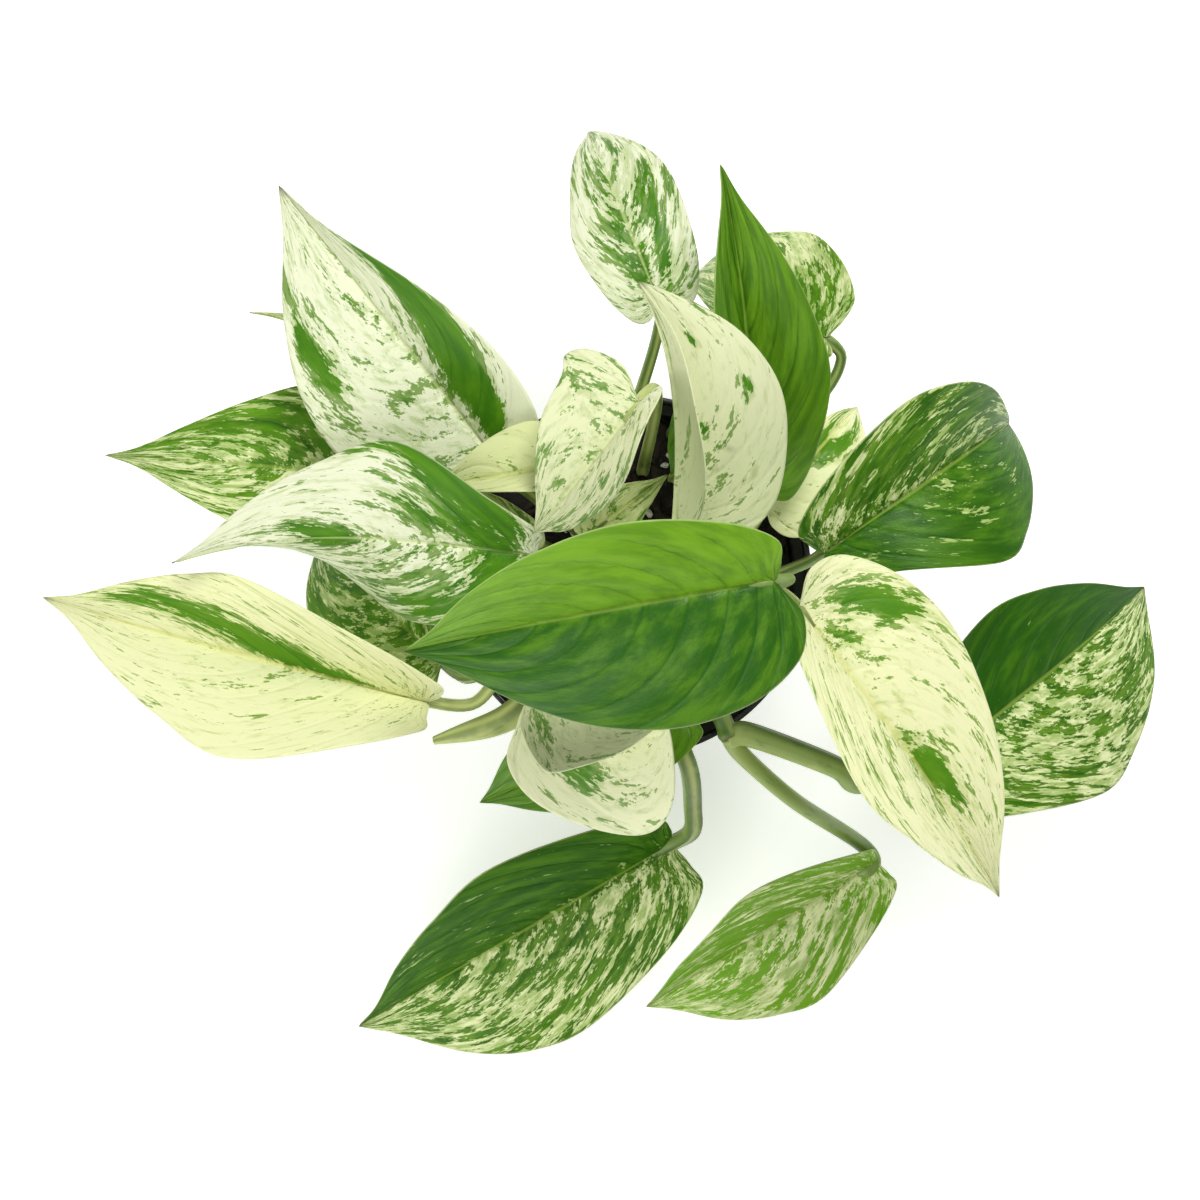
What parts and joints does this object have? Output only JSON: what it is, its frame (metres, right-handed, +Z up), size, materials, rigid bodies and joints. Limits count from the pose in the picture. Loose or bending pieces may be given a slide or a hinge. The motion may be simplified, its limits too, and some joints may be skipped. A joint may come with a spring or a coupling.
{
  "type": "potted trailing houseplant",
  "caption": "Variegated heart-leaved trailing houseplant in a small round plastic nursery pot, leaves spreading over the rim.",
  "frame": {"origin": "middle of the pot's underside, on the surface the pot stands on", "axes": "+Z up along the pot's axis; +X towards the side of the large cream leaf; +Y towards the tall dark leaf, so that seen from above with +Y upwards the plain green leaf points to -X"},
  "size_m": [0.3377, 0.2841, 0.2091],
  "materials": {
    "green_leaf": "waxy green leaf, satin",
    "marbled_leaf": "waxy leaf marbled green and cream, satin",
    "white_leaf": "waxy cream-white leaf with green flecks, satin",
    "white_green_leaf": "waxy cream-white leaf with green bands, satin",
    "cream_leaf": "waxy yellow-cream leaf with green flecks, satin",
    "pale_leaf": "waxy pale young leaf, satin",
    "petiole": "yellow-green leaf stalk, satin",
    "vine": "green stem, satin",
    "black_plastic": "black moulded nursery pot, semi-gloss",
    "soil": "dark moist potting mix with pale perlite grains, matte"
  },
  "bodies": {
    "root": {"bud_left": "petiole", "leaf_back_left": "white_green_leaf", "leaf_back_pale": "pale_leaf", "leaf_back_right": "marbled_leaf", "leaf_back_striped": "marbled_leaf", "leaf_cream_front": "cream_leaf", "leaf_cream_patch": "cream_leaf", "leaf_dark_tall": "green_leaf", "leaf_far_left_cream": "cream_leaf", "leaf_far_right": "marbled_leaf", "leaf_front_low": "marbled_leaf", "leaf_front_right_low": "marbled_leaf", "leaf_heart_white": "white_leaf", "leaf_hidden_left": "pale_leaf", "leaf_inner_dark": "green_leaf", "leaf_inner_pale": "pale_leaf", "leaf_inner_striped": "pale_leaf", "leaf_left_marbled": "marbled_leaf", "leaf_left_white": "white_green_leaf", "leaf_right_marbled": "marbled_leaf", "leaf_shade_front": "green_leaf", "leaf_shade_left": "marbled_leaf", "leaf_small_cream": "pale_leaf", "leaf_top_green": "green_leaf", "leaf_white_curled": "white_leaf", "leaf_white_folded": "white_leaf", "petiole_back_left": "petiole", "petiole_back_pale": "petiole", "petiole_back_right": "petiole", "petiole_back_striped": "petiole", "petiole_cream_front": "petiole", "petiole_cream_patch": "petiole", "petiole_dark_tall": "petiole", "petiole_far_left_cream": "petiole", "petiole_far_right": "petiole", "petiole_front_low": "petiole", "petiole_front_right_low": "petiole", "petiole_heart_white": "petiole", "petiole_hidden_left": "petiole", "petiole_inner_dark": "petiole", "petiole_inner_pale": "petiole", "petiole_inner_striped": "petiole", "petiole_left_marbled": "petiole", "petiole_left_white": "petiole", "petiole_right_marbled": "petiole", "petiole_shade_front": "petiole", "petiole_shade_left": "petiole", "petiole_small_cream": "petiole", "petiole_top_green": "petiole", "petiole_white_curled": "petiole", "petiole_white_folded": "petiole", "pot": "black_plastic", "soil": "soil", "vine_right": "vine"}
  },
  "joints": []
}
